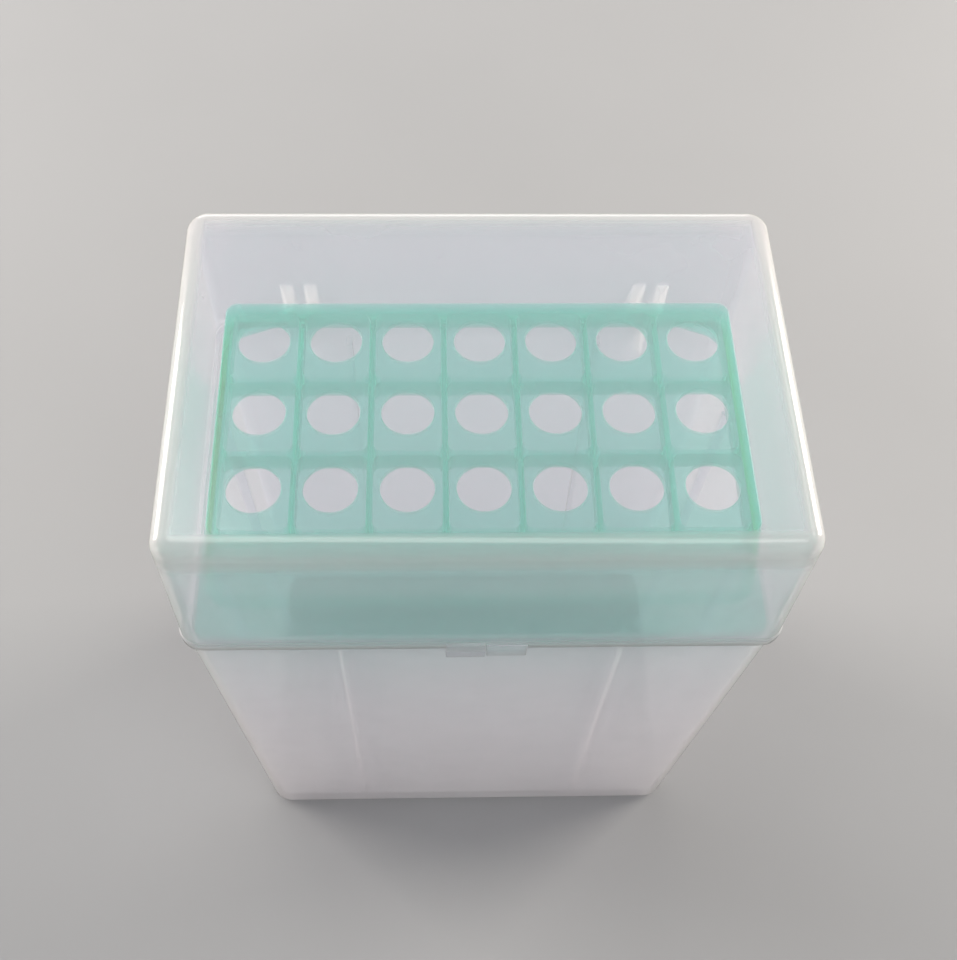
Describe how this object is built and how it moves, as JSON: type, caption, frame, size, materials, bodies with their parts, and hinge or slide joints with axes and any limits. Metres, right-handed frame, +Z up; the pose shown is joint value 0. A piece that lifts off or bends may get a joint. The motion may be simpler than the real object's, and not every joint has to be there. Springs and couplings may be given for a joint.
{
  "type": "hinged tip storage box",
  "caption": "Tall rectangular lidded box of frosted plastic: tapered tub, deep lid hinged along the back, and a green perforated rack insert standing in its mouth.",
  "frame": {"origin": "centre of the tub's flat underside, on the surface that the box stands on", "axes": "+Z up; -Y towards the front with the finger tabs; +Y towards the hinges; +X to the right seen from the front"},
  "size_m": [0.1474, 0.1079, 0.192],
  "materials": {
    "natural_plastic": "frosted natural polypropylene, translucent, satin",
    "green_plastic": "mint green polypropylene, translucent, satin",
    "hinge_pin": "natural polypropylene, satin"
  },
  "bodies": {
    "tub": {"tub": "natural_plastic", "hinge_pin_left": "hinge_pin", "hinge_pin_right": "hinge_pin"},
    "lid": {"lid": "natural_plastic"},
    "rack": {"rack": "green_plastic"}
  },
  "joints": [
    {"name": "lid_hinge", "type": "hinge", "parent": "tub", "child": "lid", "pos_m": [0, 0.0542, 0.1426], "axis": [-1, 0, 0], "range_deg": [0, 180]},
    {"name": "rack_lift", "type": "slide", "parent": "tub", "child": "rack", "axis": [0, 0, 1], "range_m": [0, 0.015]}
  ]
}
